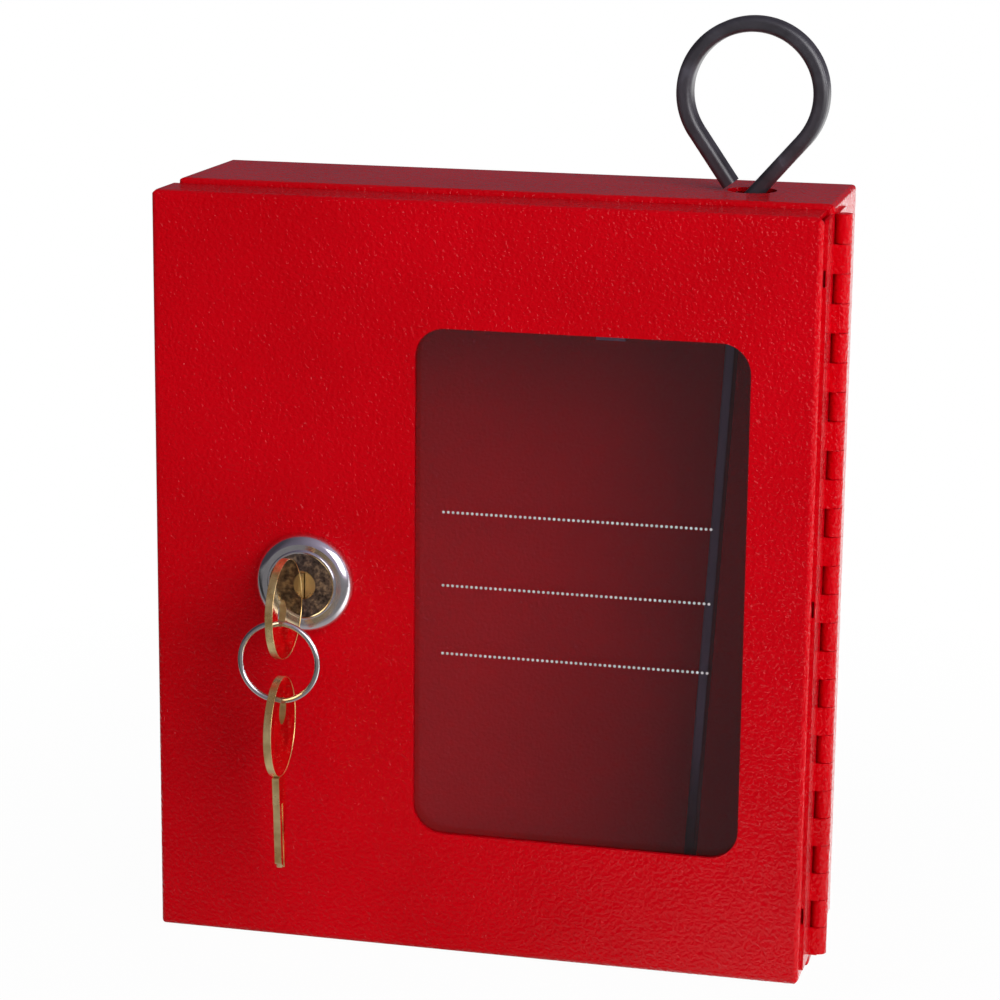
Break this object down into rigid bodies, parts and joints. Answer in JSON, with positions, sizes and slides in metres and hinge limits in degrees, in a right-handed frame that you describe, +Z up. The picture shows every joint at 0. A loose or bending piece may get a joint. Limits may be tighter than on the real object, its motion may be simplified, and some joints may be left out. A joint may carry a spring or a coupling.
{
  "type": "break glass key box",
  "caption": "Red wall key box with a hinged locked door, a breakable window pane, a cam lock with keys on a ring and a striker bar with a loop handle.",
  "frame": {"origin": "middle of the wall holes, on the outer face of the back panel", "axes": "+X to the right of the door, +Y into the wall, +Z up"},
  "size_m": [0.159, 0.0843, 0.219],
  "materials": {
    "red_paint": "semi-gloss powder coat with a light orange-peel texture",
    "zinc_steel": "zinc plated",
    "nickel": "bright nickel",
    "chrome": "polished",
    "brass": "turned",
    "dark_disc": "satin",
    "spring_steel": "plain",
    "key_brass": "polished",
    "ring_steel": "bright wire",
    "bar_steel": "dark drawn bar",
    "black_vinyl": "satin dipped sleeve",
    "pane": "tinted, glossy"
  },
  "bodies": {
    "case": {"case_body": "red_paint", "key_hook": "zinc_steel", "hinge_leaf_case": "red_paint", "hinge_pin": "red_paint"},
    "door": {"door_panel": "red_paint", "hinge_leaf_door": "red_paint", "window_pane": "pane", "pane_clip_top": "zinc_steel", "pane_clip_bottom": "zinc_steel", "clip_studs": "zinc_steel", "clip_nuts": "zinc_steel", "lock_housing": "chrome", "lock_washer": "zinc_steel", "lock_nut": "nickel"},
    "plug": {"lock_plug": "brass", "plug_face": "dark_disc", "wafers": "brass", "wafer_springs": "spring_steel", "stop_washer": "zinc_steel", "lock_cam": "zinc_steel", "cam_screw": "zinc_steel"},
    "key": {"key_in_lock": "key_brass"},
    "ring": {"key_ring": "ring_steel"},
    "spare": {"spare_key": "key_brass"},
    "bar": {"striker_bar": "bar_steel", "handle_sleeve": "black_vinyl"}
  },
  "joints": [
    {"name": "door_swing", "type": "hinge", "parent": "case", "child": "door", "pos_m": [0.07855, -0.037, 0], "axis": [0, 0, 1], "range_deg": [0, 170]},
    {"name": "lock_turn", "type": "hinge", "parent": "door", "child": "plug", "pos_m": [-0.0418, -0.045, -0.00135], "axis": [0, 1, 0], "range_deg": [0, 90]},
    {"name": "key_slide", "type": "slide", "parent": "plug", "child": "key", "axis": [0, -1, 0], "range_m": [0, 0.022]},
    {"name": "ring_swing", "type": "hinge", "parent": "key", "child": "ring", "pos_m": [-0.0418, -0.0731, -0.0059], "axis": [1, 0, 0], "range_deg": [-50, 12]},
    {"name": "spare_swing", "type": "hinge", "parent": "ring", "child": "spare", "pos_m": [-0.0418, -0.0731, -0.0241], "axis": [1, 0, 0], "range_deg": [-50, 8]},
    {"name": "bar_slide", "type": "slide", "parent": "case", "child": "bar", "axis": [0.0541, 0, 0.9985], "range_m": [0, 0.168]}
  ]
}
